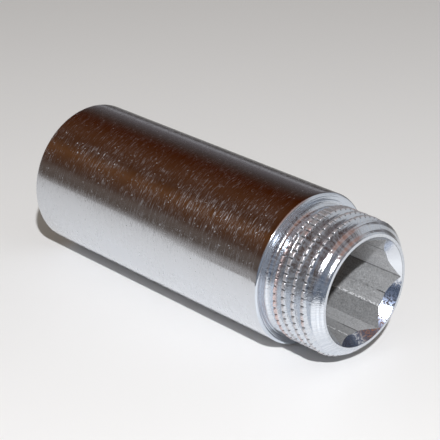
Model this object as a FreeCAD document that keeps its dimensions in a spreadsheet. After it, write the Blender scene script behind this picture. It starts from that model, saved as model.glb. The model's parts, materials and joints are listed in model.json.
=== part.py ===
"""Pipe extension with a G 1/2 male thread, a G 1/2 female thread and a key hexagon inside the male end.

The piece lies along X. The origin is the centre of the shoulder face, the male end points to +X, the
female end to -X, and +Z is up. All sizes are in millimetres. The object has two bodies: the turned
brass, and the nickel and chrome layer plated over its outside and down the hexagon socket.

The layer is what is left when the brass is taken out of the finished form. Both are therefore drawn by
the same functions, and the brass is drawn with every plated surface set in by the layer's thickness.
"""

import FreeCAD, Part
import os
import Sketcher
from FreeCAD import Vector

SIZES = {
    # barrel, from the female end face to the shoulder
    "barrel_length": 50.0,
    "barrel_radius": 11.75,
    "barrel_edge": 0.5,
    "shoulder_edge": 0.45,
    # male end, from the shoulder to the end face
    "male_length": 10.13,
    "neck_radius": 9.6,
    "neck_length": 2.05,
    # the slope ends wider than the ramp up to the thread is 2 mm from the shoulder, so a washer fits
    "neck_slope": 0.82,
    "neck_rise": 0.5,
    "nose_chamfer": 1.75,
    # G 1/2 thread, Whitworth form
    "thread_pitch": 1.814,
    "thread_root_flat": 0.302,
    "thread_half_angle": 27.5,
    "male_crest_radius": 10.4775,
    "male_root_radius": 9.3155,
    "male_groove_start": 2.87,
    "male_turns": 4.5,
    "runout_turns": 0.25,
    "runout_cone": 69.0,
    # serrated crests
    "serration_depth": 0.25,
    "serration_count": 56,
    "serration_turn": 2.8,
    # key hexagon, and the drilled bore that it is broached into
    "mouth_radius": 8.25,
    "mouth_depth": 1.61,
    "hexagon_mouth_flats": 14.1,
    "hexagon_floor_flats": 14.0,
    "hexagon_depth": 14.0,
    "hexagon_turn": -3.2,
    "bore_radius": 7.12,
    # female end
    "tapping_radius": 9.5,
    "female_root_radius": 10.53,
    "female_lead_radius": 10.9,
    "female_depth": 15.0,
    "relief_length": 2.2,
    "relief_radius": 10.6,
    # nickel and chrome layer
    "plating": 0.05,
    # how far a cutting tool stands clear of the surface that it cuts
    "tool_clearance": 0.15,
}
NO_INSET = "0"
PLATING_INSET = "Sizes.plating"


def make_sheet(doc):
    """Write the driving sizes to a spreadsheet, one aliased cell each."""
    sheet = doc.addObject("Spreadsheet::Sheet", "Sizes")
    for row, (name, value) in enumerate(SIZES.items(), start=1):
        sheet.set(f"A{row}", name)
        sheet.set(f"B{row}", str(value))
        sheet.setAlias(f"B{row}", name)
    doc.recompute()


def origin_feature(body, role):
    """Return one of the body's own origin planes or axes."""
    return next(item for item in body.Origin.OriginFeatures if item.Role == role)


def closed_outline(body, name, plane, corners):
    """Draw a closed outline of straight lines, each corner placed by two expressions (along, across)."""
    sketch = body.newObject("Sketcher::SketchObject", name)
    sketch.AttachmentSupport = (origin_feature(body, plane), "")
    sketch.MapMode = "FlatFace"
    count = len(corners)
    # the lines start anywhere, and the constraints then pull every corner to its place
    rough = [Vector(i + 1, (i + 1) ** 2, 0) for i in range(count)]
    for i in range(count):
        sketch.addGeometry(Part.LineSegment(rough[i], rough[(i + 1) % count]))
    for i in range(count):
        sketch.addConstraint(Sketcher.Constraint("Coincident", i, 2, (i + 1) % count, 1))
    for i, (along, across) in enumerate(corners):
        for kind, start, expression in (("DistanceX", rough[i].x, along), ("DistanceY", rough[i].y, across)):
            number = sketch.addConstraint(Sketcher.Constraint(kind, -1, 1, i, 1, start))
            sketch.setExpression(f"Constraints[{number}]", expression)
    return sketch


def outside_corners(inset):
    """Half section of the outside, from the female end face to where the countersink meets the bore."""
    end_face = "-Sizes.barrel_length"
    nose = "Sizes.male_length"
    return [
        (f"{end_face} + {inset}", "Sizes.female_lead_radius"),
        (f"{end_face} + {inset}", f"Sizes.barrel_radius - Sizes.barrel_edge - {inset}"),
        (f"{end_face} + Sizes.barrel_edge + {inset}", f"Sizes.barrel_radius - {inset}"),
        (f"-Sizes.shoulder_edge - {inset}", f"Sizes.barrel_radius - {inset}"),
        (f"0 - {inset}", f"Sizes.barrel_radius - Sizes.shoulder_edge - {inset}"),
        (f"0 - {inset}", f"Sizes.neck_radius + Sizes.neck_slope - {inset}"),
        (f"Sizes.neck_slope - {inset}", f"Sizes.neck_radius - {inset}"),
        (f"Sizes.neck_length - Sizes.neck_rise + {inset}", f"Sizes.neck_radius - {inset}"),
        (f"Sizes.neck_length + {inset}", f"Sizes.male_crest_radius - {inset}"),
        (f"{nose} - Sizes.nose_chamfer - {inset}", f"Sizes.male_crest_radius - {inset}"),
        (f"{nose} - {inset}", f"Sizes.male_crest_radius - Sizes.nose_chamfer - {inset}"),
        (f"{nose} - {inset}", f"Sizes.mouth_radius + {inset}"),
        (f"{nose} - Sizes.mouth_depth - {inset}", f"Sizes.bore_radius + {inset}"),
    ]


def brass_inside_corners():
    """Half section of the inside of the brass: hexagon socket, water bore, then the bored female end."""
    socket_floor = "Sizes.male_length - Sizes.hexagon_depth"
    female_floor = "-Sizes.barrel_length + Sizes.female_depth"
    lead = "(Sizes.female_lead_radius - Sizes.tapping_radius)"
    return [
        (socket_floor, f"Sizes.bore_radius + {PLATING_INSET}"),
        (socket_floor, "Sizes.bore_radius"),
        (female_floor, "Sizes.bore_radius"),
        (female_floor, "Sizes.relief_radius"),
        (f"{female_floor} - Sizes.relief_length", "Sizes.relief_radius"),
        (f"{female_floor} - Sizes.relief_length", "Sizes.tapping_radius"),
        (f"-Sizes.barrel_length + {PLATING_INSET} + {lead}", "Sizes.tapping_radius"),
    ]


def finished_inside_corners():
    """Half section of the inside of the finished form, left hollow behind the plated hexagon socket."""
    socket_floor = "Sizes.male_length - Sizes.hexagon_depth"
    return [
        (socket_floor, "Sizes.bore_radius"),
        (socket_floor, "Sizes.female_lead_radius"),
    ]


def turn(body, corners):
    """Turn the half section round X as two mirrored halves, so that no round face closes on itself."""
    half = body.newObject("PartDesign::Revolution", "HalfTurn")
    half.Profile = closed_outline(body, "HalfSection", "XY_Plane", corners)
    half.ReferenceAxis = (origin_feature(body, "X_Axis"), [""])
    half.Angle = 180
    half.Refine = False
    whole = body.newObject("PartDesign::Mirrored", "WholeTurn")
    whole.Originals = [half]
    whole.MirrorPlane = (origin_feature(body, "XY_Plane"), [""])
    whole.Refine = False
    body.Tip = whole


def hexagon_outline(body, name, flats, place):
    """Draw a hexagon of the given width across flats, square to X at the given place."""
    corners = []
    for corner in range(6):
        angle = f"(Sizes.hexagon_turn + {60 * corner}) * 1 deg"
        corners.append((f"{flats} / sqrt(3) * cos({angle})", f"{flats} / sqrt(3) * sin({angle})"))
    sketch = closed_outline(body, name, "YZ_Plane", corners)
    sketch.setExpression("AttachmentOffset.Base.z", place)
    return sketch


def broach_hexagon(body, inset):
    """Cut the hexagon socket, which narrows a little from its mouth to its floor."""
    floor_place = "Sizes.male_length - Sizes.hexagon_depth"
    floor_flats = f"(Sizes.hexagon_floor_flats + 2 * {inset})"
    mouth_flats = f"(Sizes.hexagon_mouth_flats + 2 * {inset})"
    socket = body.newObject("PartDesign::SubtractiveLoft", "HexagonSocket")
    socket.Profile = hexagon_outline(body, "HexagonFloor", floor_flats, floor_place)
    socket.Sections = [hexagon_outline(body, "HexagonMouth", mouth_flats, "Sizes.male_length")]
    socket.Ruled = True
    socket.Refine = False


def cut_helix(body, name, profile, turns):
    """Sweep a groove outline along a right-hand helix round X, and return the feature."""
    helix = body.newObject("PartDesign::SubtractiveHelix", name)
    helix.Profile = profile
    helix.ReferenceAxis = (origin_feature(body, "X_Axis"), [""])
    helix.Mode = "pitch-turns-angle"
    helix.setExpression("Pitch", "Sizes.thread_pitch")
    helix.setExpression("Turns", turns)
    helix.Refine = False
    helix.HasBeenEdited = True
    return helix


def cut_male_thread(body, inset):
    """Cut the male groove, and the short run-out where the tool leaves the work at the shoulder end."""
    slope = "tan(Sizes.thread_half_angle * 1 deg)"
    root = f"(Sizes.male_root_radius - {inset})"
    mouth = "(Sizes.male_crest_radius + Sizes.tool_clearance)"
    # setting the flanks in widens the groove, and setting the root in lets it go narrower again
    half_at_root_radius = f"(Sizes.thread_root_flat / 2 + {inset} / cos(Sizes.thread_half_angle * 1 deg))"
    half_root = f"({half_at_root_radius} - {inset} * {slope})"
    half_mouth = f"({half_at_root_radius} + ({mouth} - Sizes.male_root_radius) * {slope})"
    start = "Sizes.male_groove_start"
    corners = [
        (f"{start} - {half_mouth}", f"-1 * {mouth}"),
        (f"{start} - {half_root}", f"-1 * {root}"),
        (f"{start} + {half_root}", f"-1 * {root}"),
        (f"{start} + {half_mouth}", f"-1 * {mouth}"),
    ]
    groove = closed_outline(body, "MaleGroove", "XY_Plane", corners)
    cut_helix(body, "MaleThread", groove, "Sizes.male_turns")
    runout = cut_helix(body, "MaleRunout", groove, "Sizes.runout_turns")
    runout.Reversed = True
    runout.setExpression("Angle", "Sizes.runout_cone * 1 deg")


def cut_female_thread(body):
    """Cut the female groove, from outside the end face to the middle of the relief at the socket floor."""
    slope = "tan(Sizes.thread_half_angle * 1 deg)"
    root = "Sizes.female_root_radius"
    mouth = "(Sizes.tapping_radius - Sizes.tool_clearance)"
    half_root = "Sizes.thread_root_flat / 2"
    half_mouth = f"({half_root} + ({root} - {mouth}) * {slope})"
    start = "(-Sizes.barrel_length - Sizes.thread_pitch / 2)"
    corners = [
        (f"{start} - {half_mouth}", f"-1 * {mouth}"),
        (f"{start} - {half_root}", f"-1 * {root}"),
        (f"{start} + {half_root}", f"-1 * {root}"),
        (f"{start} + {half_mouth}", f"-1 * {mouth}"),
    ]
    groove = closed_outline(body, "FemaleGroove", "XY_Plane", corners)
    travel = "(Sizes.female_depth - Sizes.relief_length / 2 + Sizes.thread_pitch / 2)"
    cut_helix(body, "FemaleThread", groove, f"{travel} / Sizes.thread_pitch")


def serrate_crests(body, inset):
    """Press the straight V notches across the thread crests, all round."""
    outer = "(Sizes.male_crest_radius + Sizes.tool_clearance)"
    # the sides of a notch stand at 45 degrees, so it is twice as wide as it is deep
    root = f"(Sizes.male_crest_radius - Sizes.serration_depth - {inset} * sqrt(2))"
    corners = [
        (root, "0"),
        (outer, f"{outer} - {root}"),
        (outer, f"{root} - {outer}"),
    ]
    outline = closed_outline(body, "NotchOutline", "YZ_Plane", corners)
    outline.setExpression("AttachmentOffset.Base.z", "Sizes.male_length")
    outline.setExpression("AttachmentOffset.Rotation.Angle", "Sizes.serration_turn * 1 deg")
    notch = body.newObject("PartDesign::Pocket", "Notch")
    notch.Profile = outline
    notch.setExpression("Length", "Sizes.male_length - Sizes.neck_length + Sizes.neck_rise")
    notch.Refine = False
    notches = body.newObject("PartDesign::PolarPattern", "Notches")
    notches.Originals = [notch]
    notches.Axis = (origin_feature(body, "X_Axis"), [""])
    notches.Angle = 360
    notches.setExpression("Occurrences", "Sizes.serration_count")
    notches.Refine = False
    body.Tip = notches


def make_brass(doc):
    """The turned, threaded, serrated and broached brass piece."""
    brass = doc.addObject("PartDesign::Body", "brass_body")
    turn(brass, outside_corners(PLATING_INSET) + brass_inside_corners())
    broach_hexagon(brass, PLATING_INSET)
    cut_female_thread(brass)
    cut_male_thread(brass, PLATING_INSET)
    serrate_crests(brass, PLATING_INSET)
    return brass


def make_finished_form(doc):
    """The outside of the plated piece, down to the floor of the hexagon socket. It is no sub-part itself."""
    form = doc.addObject("PartDesign::Body", "finished_form")
    turn(form, outside_corners(NO_INSET) + finished_inside_corners())
    broach_hexagon(form, NO_INSET)
    cut_male_thread(form, NO_INSET)
    serrate_crests(form, NO_INSET)
    return form


def make_plating(doc, form, brass):
    """The plated layer: the finished form without the brass."""
    plating = doc.addObject("Part::Cut", "chrome_plating")
    plating.Base = form
    plating.Tool = brass
    return plating


def check_document(doc, parts):
    """Stop when any object failed, or when a sub-part is not one sound solid."""
    for item in doc.Objects:
        if "Invalid" in item.State or "Error" in item.State:
            raise RuntimeError(f"{item.Name} did not recompute: {item.State}")
    for part in parts:
        if part.Shape.isNull() or not part.Shape.isValid():
            raise RuntimeError(f"{part.Label} has no valid shape")
        if len(part.Shape.Solids) != 1:
            raise RuntimeError(f"{part.Label} is not one solid")


doc = FreeCAD.newDocument("pipe_extension")
make_sheet(doc)
brass = make_brass(doc)
finished_form = make_finished_form(doc)
plating = make_plating(doc, finished_form, brass)
doc.recompute()
sub_parts = (brass, plating)
check_document(doc, sub_parts)
os.makedirs("parts", exist_ok=True)
for part in sub_parts:
    part.Placement = FreeCAD.Placement()
    part.Shape.exportStep(f"parts/{part.Label}.step")
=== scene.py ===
"""Looks of a chromed brass pipe extension with a threaded, serrated male end and a key hexagon inside it."""

import json
import math

import bpy
import numpy as np
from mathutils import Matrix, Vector


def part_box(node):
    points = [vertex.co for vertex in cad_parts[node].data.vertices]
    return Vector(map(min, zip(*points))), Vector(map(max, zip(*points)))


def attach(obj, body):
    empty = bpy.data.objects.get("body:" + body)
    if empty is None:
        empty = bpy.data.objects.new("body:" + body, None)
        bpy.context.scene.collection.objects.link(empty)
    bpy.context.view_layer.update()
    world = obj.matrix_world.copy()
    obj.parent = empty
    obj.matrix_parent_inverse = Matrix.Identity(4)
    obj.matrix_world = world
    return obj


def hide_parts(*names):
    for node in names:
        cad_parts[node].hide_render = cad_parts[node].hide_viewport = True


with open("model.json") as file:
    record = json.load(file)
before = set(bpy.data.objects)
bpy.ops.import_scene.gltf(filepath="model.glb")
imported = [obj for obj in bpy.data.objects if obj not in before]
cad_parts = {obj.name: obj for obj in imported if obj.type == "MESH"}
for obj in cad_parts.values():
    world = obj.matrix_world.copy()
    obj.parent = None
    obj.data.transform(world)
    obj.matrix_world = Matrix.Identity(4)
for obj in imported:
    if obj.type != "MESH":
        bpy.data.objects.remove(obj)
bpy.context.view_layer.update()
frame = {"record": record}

MM = 0.001
FULL_TURN = 2 * math.pi

# the box of the plated layer gives the ends and the barrel radius, and the mounts give the standard sizes
low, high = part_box("chrome_plating")
MOUNTS = {mount["name"]: mount for mount in frame["record"]["mounts"]}
FEMALE_END = low[0] / MM
MALE_END = high[0] / MM
BARREL_RADIUS = (high[2] - low[2]) / 2 / MM
MALE_CREST_RADIUS = MOUNTS["male_thread"]["dims"]["r_mm"]
TAPPING_RADIUS = MOUNTS["female_thread"]["dims"]["r_mm"]
SHOULDER = MOUNTS["shoulder_seat"]["pos_m"][0] / MM

# the remaining sizes of the turned piece, in millimetres; the shoulder is at x = 0
PLATING = 0.05
BARREL_EDGE = 0.5
SHOULDER_EDGE = 0.45
NECK_RADIUS = 9.6
NECK_SLOPE = 0.82
NECK_LENGTH = 2.05
NECK_RISE = 0.5
THREAD_START = NECK_LENGTH - NECK_RISE
NOSE_CHAMFER = 1.75
NOSE_START = MALE_END - NOSE_CHAMFER
NOSE_ROUND = 0.32
MOUTH_RADIUS = 8.25
MOUTH_DEPTH = 1.61
BORE_RADIUS = 7.12
FEMALE_LEAD_RADIUS = 10.9
FEMALE_DEPTH = 15.0
RELIEF_LENGTH = 2.2
RELIEF_RADIUS = 10.6

# faces out of sight, between the plating of the male end and the brass under it
PLATING_INSIDE = 9.1
BRASS_OUTSIDE = 9.0

# the two threads; a blend is the width over which the corner between two cut surfaces is rounded
PITCH = 1.814
FLANK_SLOPE = math.tan(math.radians(27.5))
ROOT_FLAT = 0.151
HALF_CREST = 0.15
MALE_ROOT_RADIUS = 9.3155
MALE_GROOVE_START = 2.87
MALE_TURNS = 6
MALE_BLEND = 0.12
FEMALE_ROOT_RADIUS = 10.53
FEMALE_TURNS = 9
FEMALE_BLEND = 0.1
RUNOUT_TURNS = 0.25
RUNOUT_RISE = PITCH * math.tan(math.radians(69.0))
# a cutting surface this far above the metal cuts nothing
CLEAR = 1.0

# notches across the crests of the male thread
NOTCH_COUNT = 56
NOTCH_DEPTH = 0.25
NOTCH_TURN = math.radians(2.8)
NOTCH_BLEND = 0.03

# where the notches are painted dark as shade and the crests dull: heights, and distances from a crest's
# edge, in millimetres
PIT_SHADE_REACH = 0.06
PIT_SHADE_GAIN = 1.7
PIT_SHADE_OFFSET = 0.4
PIT_SHADE_LIMIT = 0.75
PIT_SHADE_FADE = 0.2
CREST_BAND = 0.4

# the key hexagon and the angle that one of its sides takes up
HEXAGON_MOUTH_FLATS = 14.1
HEXAGON_FLOOR_FLATS = 14.0
HEXAGON_DEPTH = 14.0
HEXAGON_TURN = math.radians(-3.2)
SIDE_COUNT = 6
SIDE_ANGLE = FULL_TURN / SIDE_COUNT

# tool marks: two waves and fine ripples down the nose, and rings on the shoulder
RIPPLE_DEPTH = 0.005
RIPPLE_PITCH = 0.21
NOSE_WAVE_DEPTH = 0.06
NOSE_WAVE = 0.9
NOSE_STEP = 0.83
FACE_RING_DEPTH = 0.016
FACE_RING_PITCH = 0.29

# how finely the meshes are divided: columns go round the axis, a whole number of them per notch or side
MALE_COLUMNS = NOTCH_COUNT * 20
BARREL_COLUMNS = 288
SIDE_COLUMNS = 40
EDGE_STEPS = 8
BARREL_STEPS = 40
FACE_STEPS = 48
NECK_STEPS = (12, 8)
MALE_THREAD_STEPS = 290
FEMALE_THREAD_STEPS = 300
CONE_STEPS = 8
WALL_STEPS = 30
BORE_STEPS = 12
SHARP_ANGLE = math.radians(32)


# ---------------------------------------------------------------- mesh code

def ring_mesh(name, x, y, z, material):
    """Join rows of points into a closed ring-shaped mesh, wrapping round both the rows and the columns."""
    rows, columns = x.shape
    points = np.stack([x, y, z], axis=-1).reshape(-1, 3) * MM
    row, column = np.meshgrid(np.arange(rows), np.arange(columns), indexing="ij")
    next_row = (row + 1) % rows
    next_column = (column + 1) % columns
    quads = np.stack(
        [
            row * columns + column,
            row * columns + next_column,
            next_row * columns + next_column,
            next_row * columns + column,
        ],
        axis=-1,
    ).reshape(-1, 4)
    mesh = bpy.data.meshes.new(name)
    mesh.from_pydata(points.tolist(), [], quads.tolist())
    mesh.polygons.foreach_set("use_smooth", [True] * len(quads))
    mesh.set_sharp_from_angle(angle=SHARP_ANGLE)
    mesh.materials.append(material)
    piece = bpy.data.objects.new(name, mesh)
    bpy.context.scene.collection.objects.link(piece)
    return piece


def round_mesh(name, x, radius, angle, material):
    """Make a ring mesh from the place along the axis, the radius and the angle of each point."""
    return ring_mesh(name, x, radius * np.cos(angle), radius * np.sin(angle), material)


def write_attribute(piece, name, values):
    """Give every point of a piece a value that its material can read."""
    piece.data.attributes.new(name, "FLOAT", "POINT").data.foreach_set("value", values.astype(float).ravel())


def line(start, end, steps):
    """Points from start to end, without the end point."""
    share = np.arange(steps)[:, None] / steps
    return np.array(start) + share * (np.array(end) - np.array(start))


def arc(centre, radius, from_degrees, to_degrees, steps):
    """Points along an arc in the (x, r) plane, without the end point."""
    angle = np.radians(from_degrees + np.arange(steps) / steps * (to_degrees - from_degrees))
    return np.array(centre) + radius * np.stack([np.cos(angle), np.sin(angle)], axis=-1)


def turned_face(x, outer, inner, steps):
    """Points across a flat face that carries fine concentric tool rings, two waves laid over each other."""
    points = line((x, outer), (x, inner), steps)
    across = FULL_TURN * (outer - points[:, 1]) / FACE_RING_PITCH
    points[:, 0] -= FACE_RING_DEPTH * (2 - np.cos(across) - np.cos(2 * across / 3)) / 2
    return points


def soft_min(a, b, blend):
    """The lower of two surfaces, with the corner between them rounded over."""
    overlap = np.maximum(blend - np.abs(a - b), 0) / blend
    return np.minimum(a, b) - overlap ** 2 * blend / 4


def groove_radius(x, centre, root, direction):
    """Radius of a thread groove, rounded at its root, that opens outwards (+1) or inwards (-1)."""
    across = np.sqrt((x - centre) ** 2 + ROOT_FLAT ** 2) - ROOT_FLAT
    return root + direction * across / FLANK_SLOPE


def share_of_turn(angle):
    """How far round each angle lies, from 0 to 1, starting on the -Y side as the right-handed threads do."""
    return ((angle - math.pi) / FULL_TURN) % 1


# ---------------------------------------------------------------- outside of the piece

def make_barrel(material):
    """Plated barrel with its female end ring, its rounded edges and the shoulder ring."""
    inner_edge = NECK_RADIUS + NECK_SLOPE
    female_centre = (FEMALE_END + BARREL_EDGE, BARREL_RADIUS - BARREL_EDGE)
    shoulder_centre = (SHOULDER - SHOULDER_EDGE, BARREL_RADIUS - SHOULDER_EDGE)
    barrel_start = (FEMALE_END + BARREL_EDGE, BARREL_RADIUS)
    barrel_end = (SHOULDER - SHOULDER_EDGE, BARREL_RADIUS)
    profile = np.concatenate([
        line((FEMALE_END, FEMALE_LEAD_RADIUS), (FEMALE_END, BARREL_RADIUS - BARREL_EDGE), 2),
        arc(female_centre, BARREL_EDGE, 180, 90, EDGE_STEPS),
        line(barrel_start, barrel_end, BARREL_STEPS),
        arc(shoulder_centre, SHOULDER_EDGE, 90, 0, EDGE_STEPS),
        turned_face(SHOULDER, BARREL_RADIUS - SHOULDER_EDGE, inner_edge, FACE_STEPS),
        # back along the inside
        [
            (SHOULDER, inner_edge),
            (SHOULDER - PLATING, inner_edge),
            (SHOULDER - SHOULDER_EDGE, BARREL_RADIUS - PLATING),
            (FEMALE_END + BARREL_EDGE, BARREL_RADIUS - PLATING),
            (FEMALE_END + PLATING, BARREL_RADIUS - BARREL_EDGE),
            (FEMALE_END + PLATING, FEMALE_LEAD_RADIUS),
        ],
    ])
    angle = np.arange(BARREL_COLUMNS) * FULL_TURN / BARREL_COLUMNS
    x = np.repeat(profile[:, :1], BARREL_COLUMNS, axis=1)
    radius = np.repeat(profile[:, 1:], BARREL_COLUMNS, axis=1)
    return round_mesh("barrel_plating", x, radius, angle, material)


def neck_radius_at(x):
    """Profile of the neck: a hollow curve down from the shoulder, a flat floor, and a rise to the thread."""
    hollow = np.clip(x / NECK_SLOPE, 0, 1)
    curve = NECK_RADIUS + NECK_SLOPE * (1 - np.sqrt(1 - (1 - hollow) ** 2))
    rise = np.clip((x - THREAD_START) / NECK_RISE, 0, 1) * (MALE_CREST_RADIUS - NECK_RADIUS)
    return curve + rise


def nose_radius_at(x):
    """Profile of the nose: a 45 degree chamfer with two soft waves and fine ripples."""
    chamfer = MALE_CREST_RADIUS - (x - NOSE_START)
    steepest = MALE_END - NOSE_STEP
    waves = NOSE_WAVE_DEPTH * np.sin(FULL_TURN * (x - steepest) / NOSE_WAVE)
    return chamfer - waves + RIPPLE_DEPTH * np.sin(FULL_TURN * x / RIPPLE_PITCH)


def male_surface(x, angle):
    """Radius of the male end at each (x, angle), and two shares: painted shade inside a notch, and near a
    crest.
    """
    radius = soft_min(neck_radius_at(x), nose_radius_at(x), NOSE_ROUND)
    on_thread = x > THREAD_START
    # notches first, so that the grooves then cut through them
    nearest = np.round((angle - NOTCH_TURN) / FULL_TURN * NOTCH_COUNT)
    arc_away = np.abs(angle - NOTCH_TURN - nearest * FULL_TURN / NOTCH_COUNT) * MALE_CREST_RADIUS
    notch = MALE_CREST_RADIUS - NOTCH_DEPTH + arc_away
    radius = soft_min(radius, np.where(on_thread, notch, radius + CLEAR), NOTCH_BLEND)
    # each turn of the groove cuts in, and the place's distance from the nearest edge of a crest is noted
    from_edge = np.abs(x - NECK_LENGTH)
    for whole_turns in range(-1, MALE_TURNS):
        turns = whole_turns + share_of_turn(angle)
        rise = np.maximum(-turns, 0) * RUNOUT_RISE
        centre = MALE_GROOVE_START + PITCH * turns
        groove = groove_radius(x, centre, MALE_ROOT_RADIUS + rise, 1)
        groove = np.where(turns > -RUNOUT_TURNS, groove, radius + CLEAR)
        radius = soft_min(radius, groove, MALE_BLEND)
        past_groove = np.abs(x - centre) - PITCH / 2 + HALF_CREST
        open_groove = turns > -RUNOUT_TURNS / 2
        from_edge = np.minimum(from_edge, np.where(open_groove, past_groove, from_edge))
    depth = (MALE_CREST_RADIUS - notch) / NOTCH_DEPTH
    # painted shade deep in each notch, fading out far from a crest's edge
    pit_shade = np.clip(PIT_SHADE_GAIN * depth - PIT_SHADE_OFFSET, 0, 1) * (radius > notch - PIT_SHADE_REACH)
    pit_shade = pit_shade * np.clip((PIT_SHADE_LIMIT - from_edge) / PIT_SHADE_FADE, 0, 1)
    crest = np.clip((radius - MALE_CREST_RADIUS + CREST_BAND) / CREST_BAND, 0, 1) * on_thread
    before_nose = x < NOSE_START
    return radius, pit_shade * before_nose, crest * before_nose


def make_male_end(material):
    """Plated neck, thread, serrations, nose and end ring, as one finely divided ring."""
    curve_steps, floor_steps = NECK_STEPS
    rows = np.concatenate([
        NECK_SLOPE * (1 - np.cos(np.linspace(0, math.pi / 2, curve_steps, endpoint=False))),
        np.linspace(NECK_SLOPE, THREAD_START, floor_steps, endpoint=False),
        np.linspace(THREAD_START, MALE_END, MALE_THREAD_STEPS),
    ])
    angle = NOTCH_TURN + np.arange(MALE_COLUMNS) * FULL_TURN / MALE_COLUMNS
    x, angles = np.meshgrid(rows, angle, indexing="ij")
    radius, pit_shade, crest = male_surface(x, angles)
    closing = np.array([
        (MALE_END, (MOUTH_RADIUS + MALE_CREST_RADIUS - NOSE_CHAMFER) / 2),
        (MALE_END, MOUTH_RADIUS),
        (MALE_END - PLATING, MOUTH_RADIUS),
        (MALE_END - NOSE_CHAMFER / 2, PLATING_INSIDE),
        (SHOULDER, PLATING_INSIDE),
    ])
    ones = np.ones((1, MALE_COLUMNS))
    x = np.concatenate([x, closing[:, :1] * ones])
    radius = np.concatenate([radius, closing[:, 1:] * ones])
    piece = round_mesh("male_end_plating", x, radius, angle, material)
    rest = np.zeros((len(closing), MALE_COLUMNS))
    # the notches' painted shade and the share near a crest go on the points
    write_attribute(piece, "pit_shade", np.concatenate([pit_shade, rest]))
    write_attribute(piece, "crest", np.concatenate([crest, rest]))
    return piece


# ---------------------------------------------------------------- hexagon socket

def socket_flats(x):
    """Half the width across flats at a place along the socket."""
    share = (MALE_END - x) / HEXAGON_DEPTH
    return (HEXAGON_MOUTH_FLATS + share * (HEXAGON_FLOOR_FLATS - HEXAGON_MOUTH_FLATS)) / 2


def side_angles(x):
    """Angles from a flat's centre over one side, with columns held on the edges of the drilled strip."""
    edge = np.arccos(socket_flats(x) / BORE_RADIUS)
    half = SIDE_ANGLE / 2
    quarter = SIDE_COLUMNS // 4
    beside = np.arange(quarter) / quarter
    middle = np.arange(2 * quarter) / (2 * quarter)
    return np.concatenate([
        -half + beside * (half - edge),
        -edge + middle * 2 * edge,
        edge + beside * (half - edge),
    ])


def wall_radius(x, from_flat):
    """Radius of the socket wall: the broached flat, or the drilled bore where that is wider."""
    return np.maximum(socket_flats(x) / np.cos(from_flat), BORE_RADIUS)


def socket_rows(offset, floor):
    """Rows of points from the mouth down the countersink and the socket wall, set out by the offset."""
    cone_slope = (MOUTH_RADIUS - BORE_RADIUS) / MOUTH_DEPTH
    strip = side_angles(MALE_END - MOUTH_DEPTH / 2)
    meet_radius = wall_radius(MALE_END - MOUTH_DEPTH / 2, strip)
    meet_x = MALE_END - (MOUTH_RADIUS - meet_radius) / cone_slope
    rows = []
    for step in range(CONE_STEPS):
        share = step / CONE_STEPS
        x = MALE_END + share * (meet_x - MALE_END)
        rows.append((x, MOUTH_RADIUS + share * (meet_radius - MOUTH_RADIUS), strip))
    for step in range(WALL_STEPS + 1):
        share = step / WALL_STEPS
        x = meet_x + share * (floor - meet_x)
        from_flat = strip + share * (side_angles(floor) - strip)
        rows.append((x, wall_radius(x, from_flat), from_flat))
    x, radius, from_flat = (np.array([row[i] for row in rows]) for i in range(3))
    centres = HEXAGON_TURN + (np.arange(SIDE_COUNT) + 0.5) * SIDE_ANGLE
    x = np.tile(x, (1, SIDE_COUNT))
    radius = np.tile(radius, (1, SIDE_COUNT)) + offset
    angle = (from_flat[:, None, :] + centres[None, :, None]).reshape(len(rows), -1)
    return x, radius, angle


def make_socket(material):
    """Plated countersink and hexagon walls."""
    floor = MALE_END - HEXAGON_DEPTH
    front = socket_rows(0, floor)
    back = socket_rows(PLATING, floor)
    x, radius, angle = (np.concatenate([near, far[::-1]]) for near, far in zip(front, back))
    return round_mesh("socket_plating", x, radius, angle, material)


# ---------------------------------------------------------------- brass

def female_surface(x, angle):
    """Radius of the female end at each (x, angle): lead chamfer and thread."""
    lead = FEMALE_LEAD_RADIUS - (x - FEMALE_END)
    radius = np.maximum(lead, TAPPING_RADIUS)
    start = FEMALE_END - PITCH / 2
    for whole_turns in range(FEMALE_TURNS):
        centre = start + PITCH * (whole_turns + share_of_turn(angle))
        groove = groove_radius(x, centre, FEMALE_ROOT_RADIUS, -1)
        radius = -soft_min(-radius, -groove, FEMALE_BLEND)
    return radius


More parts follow.
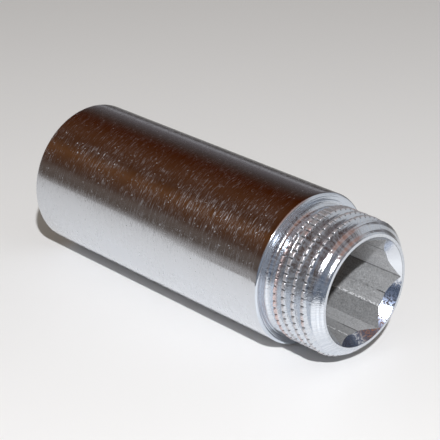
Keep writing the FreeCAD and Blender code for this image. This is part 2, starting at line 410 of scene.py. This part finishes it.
def make_brass(material):
    """Bare brass: female thread and relief, water bore, socket floor, and the hidden outside."""
    socket_floor = MALE_END - HEXAGON_DEPTH
    female_floor = FEMALE_END + FEMALE_DEPTH
    relief_start = female_floor - RELIEF_LENGTH
    x, radius, angle = socket_rows(PLATING, socket_floor)
    # the brass stops short of the plated end ring
    x[0] = MALE_END - PLATING
    last_angle = angle[-1:]
    ones = np.ones(last_angle.shape)
    bore = np.concatenate([
        line((socket_floor, BORE_RADIUS), (female_floor, BORE_RADIUS), BORE_STEPS),
        line((female_floor, BORE_RADIUS), (female_floor, RELIEF_RADIUS), 3),
        line((female_floor, RELIEF_RADIUS), (relief_start, RELIEF_RADIUS), 2),
    ])
    thread_rows = np.linspace(relief_start, FEMALE_END + PLATING, FEMALE_THREAD_STEPS)
    thread_x, thread_angle = np.meshgrid(thread_rows, last_angle[0], indexing="ij")
    outside = np.array([
        (FEMALE_END + PLATING, BARREL_RADIUS - BARREL_EDGE - PLATING),
        (FEMALE_END + BARREL_EDGE, BARREL_RADIUS - 2 * PLATING),
        (SHOULDER - SHOULDER_EDGE, BARREL_RADIUS - 2 * PLATING),
        (SHOULDER - 2 * PLATING, BARREL_RADIUS - SHOULDER_EDGE - PLATING),
        (SHOULDER - 2 * PLATING, BRASS_OUTSIDE),
        (MALE_END - NOSE_CHAMFER / 2, BRASS_OUTSIDE),
    ])
    x = np.concatenate([x, bore[:, :1] * ones, thread_x, outside[:, :1] * ones])
    radius = np.concatenate([
        radius,
        bore[:, 1:] * ones,
        female_surface(thread_x, thread_angle),
        outside[:, 1:] * ones,
    ])
    extra_rows = len(x) - len(angle)
    angle = np.concatenate([angle, np.repeat(last_angle, extra_rows, axis=0)])
    return round_mesh("brass_core", x, radius, angle, material)


# ---------------------------------------------------------------- material helpers

def add_node(tree, kind, inputs=(), **settings):
    """Add a shader node, set its properties and inputs, and return it."""
    node = tree.nodes.new(kind)
    for key, value in settings.items():
        setattr(node, key, value)
    for key, value in (inputs.items() if isinstance(inputs, dict) else enumerate(inputs)):
        if isinstance(value, bpy.types.NodeSocket):
            tree.links.new(value, node.inputs[key])
        elif value is not None:
            node.inputs[key].default_value = value
    return node


def maths(tree, operation, *inputs):
    """The result of one maths node."""
    return add_node(tree, "ShaderNodeMath", inputs, operation=operation).outputs[0]


def product(tree, first, second):
    """One value times another."""
    return maths(tree, "MULTIPLY", first, second)


def scaled(tree, value, factor, offset):
    """A value times a factor, plus an offset."""
    return maths(tree, "MULTIPLY_ADD", value, factor, offset)


def vector_maths(tree, operation, *inputs):
    """The result of one vector maths node."""
    return add_node(tree, "ShaderNodeVectorMath", inputs, operation=operation).outputs[0]


def scaled_vector(tree, vector, factor):
    """A vector times a factor."""
    return vector_maths(tree, "SCALE", vector, None, None, factor)


def joined(tree, x, y, z):
    """A vector from its three parts."""
    return add_node(tree, "ShaderNodeCombineXYZ", [x, y, z]).outputs[0]


def parts_of(tree, vector):
    """The three parts of a vector."""
    return add_node(tree, "ShaderNodeSeparateXYZ", [vector]).outputs


def mix_colour(tree, share, first, second):
    """Blend two colours by a share."""
    node = tree.nodes.new("ShaderNodeMix")
    node.data_type = "RGBA"
    for socket, value in ((node.inputs[0], share), (node.inputs[6], first), (node.inputs[7], second)):
        if isinstance(value, bpy.types.NodeSocket):
            tree.links.new(value, socket)
        else:
            socket.default_value = value
    return node.outputs[2]


def ramp(tree, value, stops, interpolation="LINEAR"):
    """Read a colour from stops of (place, colour)."""
    node = add_node(tree, "ShaderNodeValToRGB", [value])
    node.color_ramp.interpolation = interpolation
    elements = node.color_ramp.elements
    while len(elements) < len(stops):
        elements.new(0.5)
    for element, (place, colour) in zip(elements, stops):
        element.position = place
        element.color = colour
    return node.outputs[0]


def smooth_step(tree, value, start, end):
    """0 below start, 1 above end, and a smooth change between them."""
    inputs = [value, start, end, 0.0, 1.0]
    return add_node(tree, "ShaderNodeMapRange", inputs, interpolation_type="SMOOTHSTEP").outputs[0]


def noise(tree, place, detail=2.0, roughness=0.5, scale=1.0):
    """The value of a noise texture at a place."""
    inputs = {"Vector": place, "Scale": scale, "Detail": detail, "Roughness": roughness}
    return add_node(tree, "ShaderNodeTexNoise", inputs).outputs[0]


def bump(tree, height, distance, normal=None):
    """A bump node's normal, with the height in shares of a distance in millimetres."""
    inputs = {"Height": height, "Strength": 1.0, "Distance": distance * MM, "Normal": normal}
    return add_node(tree, "ShaderNodeBump", inputs).outputs[0]


def attribute(tree, name):
    """A value that was written on the points of the mesh."""
    return add_node(tree, "ShaderNodeAttribute", attribute_name=name).outputs["Fac"]


def end_facing(tree, start, end):
    """0 on surfaces that run along the axis, and 1 on surfaces that face the male end."""
    normal = add_node(tree, "ShaderNodeNewGeometry").outputs["True Normal"]
    return smooth_step(tree, parts_of(tree, normal)[0], start, end)


def glossy_ray(tree):
    """1 for a ray that left a mirroring surface, and 0 for any other."""
    return add_node(tree, "ShaderNodeLightPath").outputs["Is Glossy Ray"]


def send_out(tree, kind, surface):
    """Connect a surface or background to the output of its tree."""
    output = next(node for node in tree.nodes if node.type == kind)
    tree.links.new(surface, output.inputs["Surface"])


class AxisCoordinates:
    """Shader coordinates round the part's axis: place and x in millimetres, the radius, and directions."""

    def __init__(self, tree):
        self.tree = tree
        metres = add_node(tree, "ShaderNodeTexCoord").outputs["Object"]
        self.place = scaled_vector(tree, metres, 1 / MM)
        self.x, y, z = parts_of(tree, self.place)
        across = joined(tree, 0.0, y, z)
        self.radius = add_node(tree, "ShaderNodeVectorMath", [across], operation="LENGTH").outputs[1]
        self.outward = vector_maths(tree, "NORMALIZE", across)
        self.around = vector_maths(tree, "CROSS_PRODUCT", (1.0, 0.0, 0.0), self.outward)
        self.degrees = product(tree, maths(tree, "ARCTAN2", z, y), math.degrees(1))

    def stretched(self, along, around, radial=0.0):
        """A texture place with so many cells per mm along the axis, per radian round it and per mm out."""
        out = scaled_vector(self.tree, self.outward, around)
        along_axis = product(self.tree, self.x, along)
        side = maths(self.tree, "ADD", along_axis, product(self.tree, self.radius, radial))
        return vector_maths(self.tree, "ADD", out, joined(self.tree, side, 0.0, 0.0))

    def tangent(self):
        """Direction along the surface at right angles to the turning marks."""
        normal = add_node(self.tree, "ShaderNodeNewGeometry").outputs["Normal"]
        return vector_maths(self.tree, "CROSS_PRODUCT", self.around, normal)


def new_material(name, metallic=1.0):
    """A node material: the material, its tree, and its Principled shader."""
    material = bpy.data.materials.new(name)
    material.use_nodes = True
    shader = material.node_tree.nodes["Principled BSDF"]
    shader.inputs["Metallic"].default_value = metallic
    return material, material.node_tree, shader


def connect(tree, shader, sockets):
    """Drive inputs of a shader, given by name."""
    for name, value in sockets.items():
        tree.links.new(value, shader.inputs[name])


# ---------------------------------------------------------------- materials

CHROME = (0.705, 0.735, 0.780, 1.0)
CHROME_WORN = (0.64, 0.63, 0.635, 1.0)
CHROME_MATT = (0.61, 0.66, 0.73, 1.0)
CREST_GREY = (0.50, 0.48, 0.495, 1.0)
COPPER_TINT = (0.60, 0.43, 0.405, 1.0)
# painted shade: the near-black colour inside the notches
PIT_SHADE_GREY = (0.022, 0.018, 0.018, 1.0)
CONE_DULL = (0.22, 0.26, 0.36, 1.0)
# painted shade: the dark bluish reflection low on the countersink's -Y side
CONE_PAINTED_SHADE = (0.11, 0.14, 0.21, 1.0)
WALL_TINT = (0.97, 0.98, 1.0)
BRASS_BRIGHT = (0.80, 0.58, 0.27, 1.0)
BRASS_DULL = (0.52, 0.36, 0.17, 1.0)
TABLE_GREY = (0.850, 0.842, 0.840, 1.0)
TABLE_WHITE = (0.866, 0.858, 0.857, 1.0)

# textures: cells per millimetre along the axis, per radian round it, and per millimetre outwards
BARREL_TURNING = (9.0, 3.0, 9.0)
BARREL_CLOUD = (0.12, 2.0)
MARK_PATCH = (0.12, 2.5)
HAIRLINE = (8.0, 5.0)
DASH = (6.0, 12.0)
SPECK = (2.4, 26.0)
THREAD_RINGS = (7.0, 1.2, 7.0)
THREAD_GRAIN = (6.0, 70.0, 6.0)
THREAD_MOTTLE = (2.5, 30.0, 2.5)
THREAD_STAIN = (0.6, 5.0)
DIE_LINES = (0.12, 26.0)
WALL_PATCH = (0.7, 4.0)
BRASS_RINGS = (6.0, 1.5, 6.0)
BRASS_FILM = (0.3, 3.0)

# the barrel's handling marks: their strengths, and how far from the shoulder they have faded and are full
HAIRLINE_STRENGTH = 0.46
DASH_STRENGTH = 0.40
LEAST_DENSITY = 0.3
MARKS_FADED = 0.4
MARKS_FULL = 1.6

# the most that each second colour covers, and the most that each dark mark takes from the wall's tone
WORN_COVER = 0.3
CREST_COVER = 0.8
TINT_COVER = 0.85
CONE_SHADE_COVER = 0.85
SCORE_DARKNESS = 0.35
CORNER_DARKNESS = 0.5
MARK_DARKNESS = 0.8

# how metallic each surface is, and what the mottle and the crests take from it on the thread
FACE_METAL = 0.86
THREAD_METAL = 0.99
MOTTLE_LOSS = 0.15
CREST_LOSS = 0.24
WALL_METAL = 0.5
SPECULAR = 0.5
PIT_SHADE_SPECULAR = 0.05

# how strongly the turning marks draw a highlight out
BARREL_ANISOTROPY = 0.7
THREAD_ANISOTROPY = 0.5

# roughness of each clean surface, and what marks, crests and pits add to it
BARREL_ROUGHNESS = 0.055
THREAD_ROUGHNESS = 0.08
WALL_ROUGHNESS = 0.45
CONE_ROUGHNESS = 0.07
BRASS_ROUGHNESS = 0.18
TABLE_ROUGHNESS = 0.45
MARK_ROUGHNESS = 0.42
CREST_ROUGHNESS = 0.16
PIT_SHADE_ROUGHNESS = 0.4

# angles round the socket in degrees: one side, the lowest corner on the -Y side, and half a drilled strip
SIDE_DEGREES = 360 / SIDE_COUNT
LOWEST_CORNER = math.degrees(HEXAGON_TURN) - 120
STRIP_DEGREES = math.degrees(math.acos(HEXAGON_MOUTH_FLATS / 2 / BORE_RADIUS)) + 0.1
# where the painted shade on the countersink ends, in degrees
CONE_SHADE_END = LOWEST_CORNER + 28
# brightness of the socket's wall, from the angle past the lowest corner at which each tone starts; one tone
# is a painted sheen
WALL_TONES_AND_SHEEN = (
    (0, 0.33),
    (30 - STRIP_DEGREES, 0.37),
    (30 + STRIP_DEGREES, 0.50),
    (60, 0.30),
    (90 - STRIP_DEGREES, 0.45),
    (90 + STRIP_DEGREES, 0.42),
    # painted sheen: this flat is painted far lighter, for the lamp's glancing light on it
    (120, 0.86),
    (180, 0.36),
)


def handling_marks(tree, axis):
    """Shares of all the handling marks, drawn out round the barrel, and of the specks alone."""
    patch = noise(tree, axis.stretched(*MARK_PATCH), detail=3.0, roughness=0.6)
    density = scaled(tree, smooth_step(tree, patch, 0.25, 0.55), 1 - LEAST_DENSITY, LEAST_DENSITY)
    hairlines = noise(tree, axis.stretched(*HAIRLINE), detail=3.0, roughness=0.7)
    hairlines = smooth_step(tree, hairlines, 0.42, 0.62)
    dashes = noise(tree, axis.stretched(*DASH), roughness=0.6)
    dashes = smooth_step(tree, dashes, 0.52, 0.66)
    specks = noise(tree, axis.stretched(*SPECK), detail=1.0)
    specks = smooth_step(tree, specks, 0.70, 0.76)
    hairlines = product(tree, hairlines, HAIRLINE_STRENGTH)
    marks = maths(tree, "ADD", hairlines, product(tree, dashes, DASH_STRENGTH))
    marks = product(tree, maths(tree, "MAXIMUM", marks, specks), density)
    # none on the rounded edge at the shoulder
    before_edge = smooth_step(tree, axis.x, SHOULDER - MARKS_FADED, SHOULDER - MARKS_FULL)
    return product(tree, marks, before_edge), specks


def barrel_material():
    """Bright plated barrel with faint turning marks and handling scratches, and a duller shoulder face."""
    material, tree, shader = new_material("barrel_chrome")
    axis = AxisCoordinates(tree)
    fine = noise(tree, axis.stretched(*BARREL_TURNING), detail=3.0)
    cloud = noise(tree, axis.stretched(*BARREL_CLOUD))
    marks, specks = handling_marks(tree, axis)
    face = end_facing(tree, 0.25, 0.6)
    colour = mix_colour(tree, product(tree, cloud, WORN_COVER), CHROME, CHROME_WORN)
    rough = scaled(tree, fine, 0.05, BARREL_ROUGHNESS)
    rough = maths(tree, "ADD", rough, product(tree, marks, MARK_ROUGHNESS))
    connect(tree, shader, {
        "Base Color": mix_colour(tree, face, colour, CHROME_MATT),
        "Metallic": scaled(tree, face, FACE_METAL - 1, 1.0),
        "Roughness": scaled(tree, face, 0.06, rough),
        "Tangent": axis.tangent(),
        "Normal": bump(tree, specks, distance=0.01, normal=bump(tree, fine, distance=0.002)),
    })
    shader.inputs["Anisotropic"].default_value = BARREL_ANISOTROPY
    return material


def copper_tint(tree, axis, crest, grain):
    """Where the plating is worn pink: the first crest low on the -Y side, and stains on the other crests."""
    stain = noise(tree, axis.stretched(*THREAD_STAIN), detail=3.0)
    from_first = maths(tree, "ABSOLUTE", maths(tree, "SUBTRACT", axis.x, NECK_LENGTH))
    first_crest = smooth_step(tree, from_first, 0.42, 0.25)
    low_side = smooth_step(tree, parts_of(tree, axis.outward)[1], -0.60, -0.80)
    first_crest = product(tree, first_crest, low_side)
    worn = product(tree, first_crest, smooth_step(tree, grain, 0.3, 0.55))
    stained = product(tree, crest, smooth_step(tree, stain, 0.56, 0.74))
    return maths(tree, "MAXIMUM", worn, stained)


def male_end_material():
    """Plated thread and nose: bright flanks, dull crests, notches painted near black as shade, and a copper
    tint where worn.
    """
    material, tree, shader = new_material("thread_chrome")
    axis = AxisCoordinates(tree)
    rings = noise(tree, axis.stretched(*THREAD_RINGS))
    grain = noise(tree, axis.stretched(*THREAD_GRAIN))
    mottle = noise(tree, axis.stretched(*THREAD_MOTTLE), detail=3.0, roughness=0.65)
    pit_shade = attribute(tree, "pit_shade")
    crest = smooth_step(tree, attribute(tree, "crest"), 0.35, 0.9)
    tint = copper_tint(tree, axis, crest, grain)
    colour = mix_colour(tree, smooth_step(tree, mottle, 0.3, 0.7), CHROME, CHROME_MATT)
    colour = mix_colour(tree, product(tree, crest, CREST_COVER), colour, CREST_GREY)
    colour = mix_colour(tree, product(tree, tint, TINT_COVER), colour, COPPER_TINT)
    metal = scaled(tree, smooth_step(tree, mottle, 0.35, 0.65), -MOTTLE_LOSS, THREAD_METAL)
    metal = scaled(tree, crest, -CREST_LOSS, metal)
    rough = scaled(tree, crest, CREST_ROUGHNESS, scaled(tree, grain, 0.08, THREAD_ROUGHNESS))
    normal = bump(tree, grain, distance=0.004, normal=bump(tree, rings, distance=0.03))
    connect(tree, shader, {
        # painted shade: inside the notches the colour goes near black, with no metal and little specular
        "Base Color": mix_colour(tree, pit_shade, colour, PIT_SHADE_GREY),
        "Metallic": product(tree, metal, maths(tree, "SUBTRACT", 1.0, pit_shade)),
        "Specular IOR Level": scaled(tree, pit_shade, PIT_SHADE_SPECULAR - SPECULAR, SPECULAR),
        "Roughness": scaled(tree, pit_shade, PIT_SHADE_ROUGHNESS, rough),
        "Tangent": axis.tangent(),
        "Normal": bump(tree, mottle, distance=0.035, normal=normal),
    })
    shader.inputs["Anisotropic"].default_value = THREAD_ANISOTROPY
    return material


def wall_colour(tree, axis, from_corner, speckle, die_lines):
    """Dull grey of the hexagon's wall, by the angle past its lowest corner.

    The tone changes from flat to flat, and at the edges of the strips that the drill left; on the flat from
    120 to
    180 degrees past the lowest corner it is a painted sheen, far lighter for the lamp's glancing light
    there. Bright specks lie along one edge of each strip and a broken dark line along the other, and each
    corner has a dark line.
    """
    grain = noise(tree, axis.place, detail=3.0, roughness=0.75, scale=4.5)
    patches = noise(tree, axis.stretched(*WALL_PATCH))
    stops = [(start / 360, (tone, tone, tone, 1.0)) for start, tone in WALL_TONES_AND_SHEEN]
    # the tones include the painted sheen on one flat
    tone = ramp(tree, maths(tree, "DIVIDE", from_corner, 360.0), stops, "CONSTANT")
    tone = product(tree, tone, scaled(tree, smooth_step(tree, grain, 0.34, 0.66), 0.5, 0.72))
    along_side = maths(tree, "WRAP", from_corner, SIDE_DEGREES, 0.0)
    from_flat = maths(tree, "SUBTRACT", along_side, SIDE_DEGREES / 2)
    from_line = maths(tree, "SUBTRACT", SIDE_DEGREES / 2, maths(tree, "ABSOLUTE", from_flat))
    low_edge = maths(tree, "ABSOLUTE", maths(tree, "ADD", from_flat, STRIP_DEGREES))
    high_edge = maths(tree, "ABSOLUTE", maths(tree, "SUBTRACT", from_flat, STRIP_DEGREES))
    scored = product(tree, smooth_step(tree, die_lines, 0.40, 0.30), SCORE_DARKNESS)
    near_mouth = smooth_step(tree, axis.x, 3.5, 6.5)
    cracked = product(tree, smooth_step(tree, high_edge, 0.9, 0.3), near_mouth)
    cracked = product(tree, cracked, smooth_step(tree, patches, 0.33, 0.40))
    corner_line = product(tree, smooth_step(tree, from_line, 0.8, 0.2), CORNER_DARKNESS)
    dark = maths(tree, "MAXIMUM", maths(tree, "MAXIMUM", scored, cracked), corner_line)
    tone = product(tree, tone, scaled(tree, dark, -MARK_DARKNESS, 1.0))
    specks = product(tree, smooth_step(tree, low_edge, 1.9, 0.9), smooth_step(tree, speckle, 0.46, 0.54))
    tone = maths(tree, "MAXIMUM", tone, specks)
    return vector_maths(tree, "MULTIPLY", joined(tree, tone, tone, tone), WALL_TINT)


def socket_material():
    """Thin, dull plating down the broached hexagon, and a bright speckled countersink."""
    material, tree, shader = new_material("socket_chrome")
    axis = AxisCoordinates(tree)
    grit = noise(tree, axis.place, roughness=0.6, scale=7.0)
    speckle = noise(tree, axis.place, roughness=0.65, scale=3.4)
    die_lines = noise(tree, axis.stretched(*DIE_LINES), detail=3.0)
    turn = maths(tree, "WRAP", axis.degrees, LOWEST_CORNER + 360, LOWEST_CORNER)
    from_corner = maths(tree, "SUBTRACT", turn, LOWEST_CORNER)
    wall = wall_colour(tree, axis, from_corner, speckle, die_lines)
    # painted shade: the countersink is painted dark and bluish low on the -Y side, a painted reflection of
    # the shaded inside that it mirrors there
    cone_shade = product(tree, smooth_step(tree, turn, CONE_SHADE_END + 3, CONE_SHADE_END - 3), CONE_SHADE_COVER)
    dull = product(tree, smooth_step(tree, speckle, 0.57, 0.47), smooth_step(tree, turn, -4, -12))
    cone_colour = mix_colour(tree, dull, CHROME, CONE_DULL)
    cone_colour = mix_colour(tree, cone_shade, cone_colour, CONE_PAINTED_SHADE)
    cone = end_facing(tree, 0.2, 0.4)
    rough = scaled(tree, cone, CONE_ROUGHNESS - WALL_ROUGHNESS, WALL_ROUGHNESS)
    connect(tree, shader, {
        "Base Color": mix_colour(tree, cone, wall, cone_colour),
        "Metallic": scaled(tree, cone, 1 - WALL_METAL, WALL_METAL),
        "Roughness": scaled(tree, dull, 0.25, rough),
        "Normal": bump(tree, grit, distance=0.012, normal=bump(tree, die_lines, distance=0.006)),
    })
    return material


def brass_material():
    """Bare machined brass with tool marks and a little dull film."""
    material, tree, shader = new_material("machined_brass")
    axis = AxisCoordinates(tree)
    rings = noise(tree, axis.stretched(*BRASS_RINGS))
    film = noise(tree, axis.stretched(*BRASS_FILM), detail=3.0)
    connect(tree, shader, {
        "Base Color": mix_colour(tree, smooth_step(tree, film, 0.35, 0.75), BRASS_BRIGHT, BRASS_DULL),
        "Roughness": scaled(tree, film, 0.25, BRASS_ROUGHNESS),
        "Normal": bump(tree, rings, distance=0.03),
    })
    return material


# ---------------------------------------------------------------- table

TABLE_HALF_WIDTH = 900.0
# what mirror reflections see of the table: on the -Y side it ends along a line through a near corner and a
# far corner, beyond the male end it ends at one x there, and on the +Y side, beside the barrel, at one y
TABLE_NEAR = (-51.0, -58.0)
TABLE_FAR = (-152.0, -140.0)
TABLE_END = 56.0
TABLE_BACK = 60.0


def past_table(tree, place):
    """1 at places where mirror reflections look past the table, into the room."""
    x, y, _ = parts_of(tree, place)
    (near_x, near_y), (far_x, far_y) = TABLE_NEAR, TABLE_FAR
    slant = (near_y - far_y) / (near_x - far_x)
    edge = scaled(tree, x, slant, (near_y - near_x * slant) * MM)
    edge = maths(tree, "MAXIMUM", maths(tree, "MINIMUM", edge, near_y * MM), far_y * MM)
    past_side = maths(tree, "LESS_THAN", y, edge)
    past_back = maths(tree, "GREATER_THAN", y, TABLE_BACK * MM)
    past_back = product(tree, past_back, maths(tree, "LESS_THAN", x, 0.0))
    past_end = maths(tree, "GREATER_THAN", x, TABLE_END * MM)
    past_end = product(tree, past_end, maths(tree, "LESS_THAN", y, 0.0))
    return maths(tree, "MAXIMUM", maths(tree, "MAXIMUM", past_side, past_back), past_end)


def table_material():
    """Pale table top, faintly glossy, that mirror reflections see only in part."""
    material, tree, shader = new_material("pale_table", metallic=0.0)
    place = add_node(tree, "ShaderNodeTexCoord").outputs["Object"]
    cloud = noise(tree, place, detail=3.0, scale=14.0)
    connect(tree, shader, {"Base Color": mix_colour(tree, cloud, TABLE_GREY, TABLE_WHITE)})
    shader.inputs["Roughness"].default_value = TABLE_ROUGHNESS
    hidden = product(tree, glossy_ray(tree), past_table(tree, place))
    clear = add_node(tree, "ShaderNodeBsdfTransparent").outputs[0]
    both = add_node(tree, "ShaderNodeMixShader", [hidden, shader.outputs[0], clear]).outputs[0]
    send_out(tree, "OUTPUT_MATERIAL", both)
    return material


def make_table():
    """Table top under the part."""
    half = TABLE_HALF_WIDTH
    corners = [(-half, -half), (half, -half), (half, half), (-half, half)]
    mesh = bpy.data.meshes.new("table_top")
    mesh.from_pydata([Vector((x, y, -BARREL_RADIUS)) * MM for x, y in corners], [], [(0, 1, 2, 3)])
    mesh.materials.append(table_material())
    table_top = bpy.data.objects.new("table_top", mesh)
    bpy.context.scene.collection.objects.link(table_top)


# ---------------------------------------------------------------- room, lamp and camera

# what mirror reflections see of the room, by the angle over the part in degrees: level on the -Y side is 0,
# straight up is 90 and level on the +Y side is 180
ROOM = (
    (-8, (0.30, 0.28, 0.27)),
    (2, (0.094, 0.072, 0.060)),
    (15, (0.110, 0.082, 0.068)),
    (24, (0.066, 0.034, 0.022)),
    (36, (0.078, 0.031, 0.013)),
    (50, (0.110, 0.042, 0.014)),
    (66, (0.059, 0.020, 0.007)),
    (90, (0.074, 0.025, 0.009)),
    (122, (0.044, 0.008, 0.001)),
    (134, (0.042, 0.018, 0.011)),
    (146, (0.056, 0.042, 0.038)),
    (158, (0.100, 0.086, 0.088)),
    (165, (0.125, 0.112, 0.116)),
    (168, (0.265, 0.255, 0.265)),
    (173, (0.265, 0.255, 0.265)),
    (177, (0.080, 0.070, 0.070)),
    (184, (0.055, 0.048, 0.045)),
    (194, (0.240, 0.230, 0.220)),
)
# what they see of it beyond the male end, by the height of the line of sight (-1 down, 1 up)
BEFORE_END = (
    (-0.40, (0.030, 0.042, 0.068)),
    (-0.12, (0.022, 0.032, 0.055)),
    (0.02, (0.070, 0.095, 0.145)),
    (0.14, (0.105, 0.130, 0.180)),
    (0.28, (0.075, 0.086, 0.118)),
    (0.45, (0.120, 0.112, 0.125)),
    (0.66, (0.215, 0.165, 0.155)),
    (0.85, (0.300, 0.155, 0.115)),
)
PALE_WALL = (0.50, 0.50, 0.51, 1.0)
ROOM_STRENGTH = 1.12
SOFT_LIGHT = (1.0, 0.94, 0.85, 1.0)
SOFT_STRENGTH = 0.245

LAMP_WIDTH = 0.016
LAMP_POWER = 3.05
LAMP_COLOUR = (0.965, 0.98, 1.0)
LAMP_DIRECTION = (0.55, -0.49, 0.68)
LAMP_DISTANCE = 0.5

SENSOR_WIDTH = 36.0
FOCAL_LENGTH = 124.7
CAMERA_PLACE = (131.9, -148.2, 101.2)
CAMERA_DIRECTION = (-0.6459, 0.6335, -0.4261)
NEAREST_SEEN = 0.01


def room_by_angle(tree, y, z):
    """Colour of the room by the angle over the part."""
    turn = maths(tree, "ARCTAN2", z, product(tree, y, -1.0))
    # the cut of the arc tangent, level on the +Y side, moves to straight down
    turn = maths(tree, "WRAP", turn, math.radians(270), math.radians(-90))
    start, end = ROOM[0][0], ROOM[-1][0]
    inputs = [turn, math.radians(start), math.radians(end), 0.0, 1.0]
    share = add_node(tree, "ShaderNodeMapRange", inputs).outputs[0]
    return ramp(tree, share, [((angle - start) / (end - start), (*colour, 1.0)) for angle, colour in ROOM])


def room_colour(tree):
    """Colour of the room in every direction."""
    direction = add_node(tree, "ShaderNodeTexCoord").outputs["Generated"]
    x, y, z = parts_of(tree, direction)
    # beyond the male end the room is nearly black low down, then bluish grey, and brown overhead
    height = scaled(tree, z, 0.5, 0.5)
    before_end = ramp(tree, height, [((1 + level) / 2, (*colour, 1.0)) for level, colour in BEFORE_END])
    reach = scaled(tree, smooth_step(tree, z, 0.45, 0.75), 0.5, 0.2)
    near_side = smooth_step(tree, maths(tree, "SUBTRACT", y, reach), 0.2, -0.2)
    share_of_end = product(tree, smooth_step(tree, x, -0.2, 0.35), near_side)
    seen = mix_colour(tree, share_of_end, room_by_angle(tree, y, z), before_end)
    # a pale wall stands beyond the male end, on the +Y side
    pale = product(tree, smooth_step(tree, x, 0.02, 0.22), smooth_step(tree, y, 0.45, 0.68))
    return mix_colour(tree, pale, seen, PALE_WALL)


def make_room():
    """Soft even light for the scene, and a dark brown room with a pale far side for the reflections."""
    world = bpy.data.worlds.new("room")
    bpy.context.scene.world = world
    world.use_nodes = True
    tree = world.node_tree
    room = add_node(tree, "ShaderNodeBackground", [room_colour(tree), ROOM_STRENGTH]).outputs[0]
    soft = add_node(tree, "ShaderNodeBackground", [SOFT_LIGHT, SOFT_STRENGTH]).outputs[0]
    both = add_node(tree, "ShaderNodeMixShader", [glossy_ray(tree), soft, room]).outputs[0]
    send_out(tree, "OUTPUT_WORLD", both)


def make_key_light():
    """One soft lamp, above and to the right of the camera."""
    lamp = bpy.data.lights.new("key", "AREA")
    lamp.shape = "DISK"
    lamp.size = LAMP_WIDTH
    lamp.energy = LAMP_POWER
    lamp.color = LAMP_COLOUR
    toward = Vector(LAMP_DIRECTION).normalized()
    light = bpy.data.objects.new("key", lamp)
    light.location = toward * LAMP_DISTANCE
    light.rotation_euler = toward.to_track_quat("Z", "Y").to_euler()
    bpy.context.scene.collection.objects.link(light)


def make_camera():
    """Camera above and beyond the male end, looking down along the part."""
    lens = bpy.data.cameras.new("camera")
    lens.sensor_width = SENSOR_WIDTH
    lens.lens = FOCAL_LENGTH
    lens.clip_start = NEAREST_SEEN
    camera = bpy.data.objects.new("camera", lens)
    camera.location = Vector(CAMERA_PLACE) * MM
    camera.rotation_euler = Vector(CAMERA_DIRECTION).to_track_quat("-Z", "Y").to_euler()
    bpy.context.scene.collection.objects.link(camera)
    bpy.context.scene.camera = camera


# ---------------------------------------------------------------- the whole scene

def place_piece(piece, replaced):
    """Fix a piece to the part's one body, in place of a solid of the design."""
    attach(piece, "root")
    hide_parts(replaced)


def build():
    """Make every piece and its surroundings."""
    place_piece(make_barrel(barrel_material()), "chrome_plating")
    place_piece(make_male_end(male_end_material()), "chrome_plating")
    place_piece(make_socket(socket_material()), "chrome_plating")
    place_piece(make_brass(brass_material()), "brass_body")
    make_table()
    make_room()
    make_key_light()
    make_camera()
    bpy.context.scene.view_settings.view_transform = "Standard"


build()
